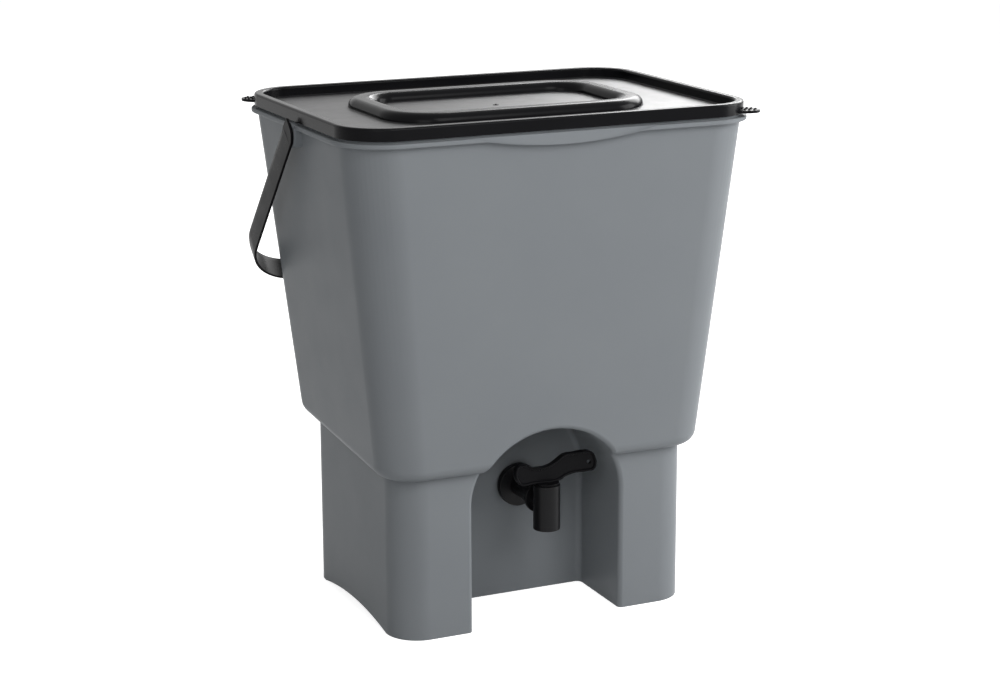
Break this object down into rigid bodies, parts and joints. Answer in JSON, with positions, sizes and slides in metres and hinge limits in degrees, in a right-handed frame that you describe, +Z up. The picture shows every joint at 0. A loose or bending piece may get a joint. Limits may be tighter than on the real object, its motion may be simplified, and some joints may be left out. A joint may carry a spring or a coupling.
{
  "type": "kitchen composting bin with tap",
  "caption": "Tapered tub on a hollow plinth with an arched alcove for its drain tap, a press-on lid, a swinging carry handle and a lift-out strainer.",
  "frame": {"origin": "middle of the tub's footprint, on the floor", "axes": "+Z up, -Y towards the front with the tap, +X to the right when looking at the front"},
  "size_m": [0.3654, 0.2673, 0.4245],
  "materials": {
    "grey_plastic": "satin moulded polypropylene",
    "black_plastic": "semi-gloss moulded polypropylene",
    "tap_plastic": "semi-gloss moulded plastic",
    "seal_rubber": "matt soft rubber"
  },
  "bodies": {
    "bin": {"bin_body": "grey_plastic", "tap_body": "tap_plastic", "tap_outer_washer": "seal_rubber", "tap_inner_washer": "seal_rubber", "tap_nut": "tap_plastic"},
    "lid": {"lid": "black_plastic", "lid_seal": "seal_rubber"},
    "handle": {"carry_handle": "black_plastic"},
    "lever": {"tap_lever": "tap_plastic", "plug_seal_lower": "seal_rubber", "plug_seal_upper": "seal_rubber"},
    "strainer": {"strainer": "grey_plastic"}
  },
  "joints": [
    {"name": "lid_lift", "type": "slide", "parent": "bin", "child": "lid", "axis": [0, 0, 1], "range_m": [0, 0.12]},
    {"name": "handle_swing", "type": "hinge", "parent": "bin", "child": "handle", "pos_m": [0, 0, 0.4035], "axis": [1, 0, 0], "range_deg": [0, 274]},
    {"name": "tap_turn", "type": "hinge", "parent": "bin", "child": "lever", "pos_m": [0.006, -0.0852, 0.1135], "axis": [0, 0, 1], "range_deg": [-90, 0]},
    {"name": "strainer_lift", "type": "slide", "parent": "bin", "child": "strainer", "axis": [0, 0, 1], "range_m": [0, 0.24]}
  ]
}
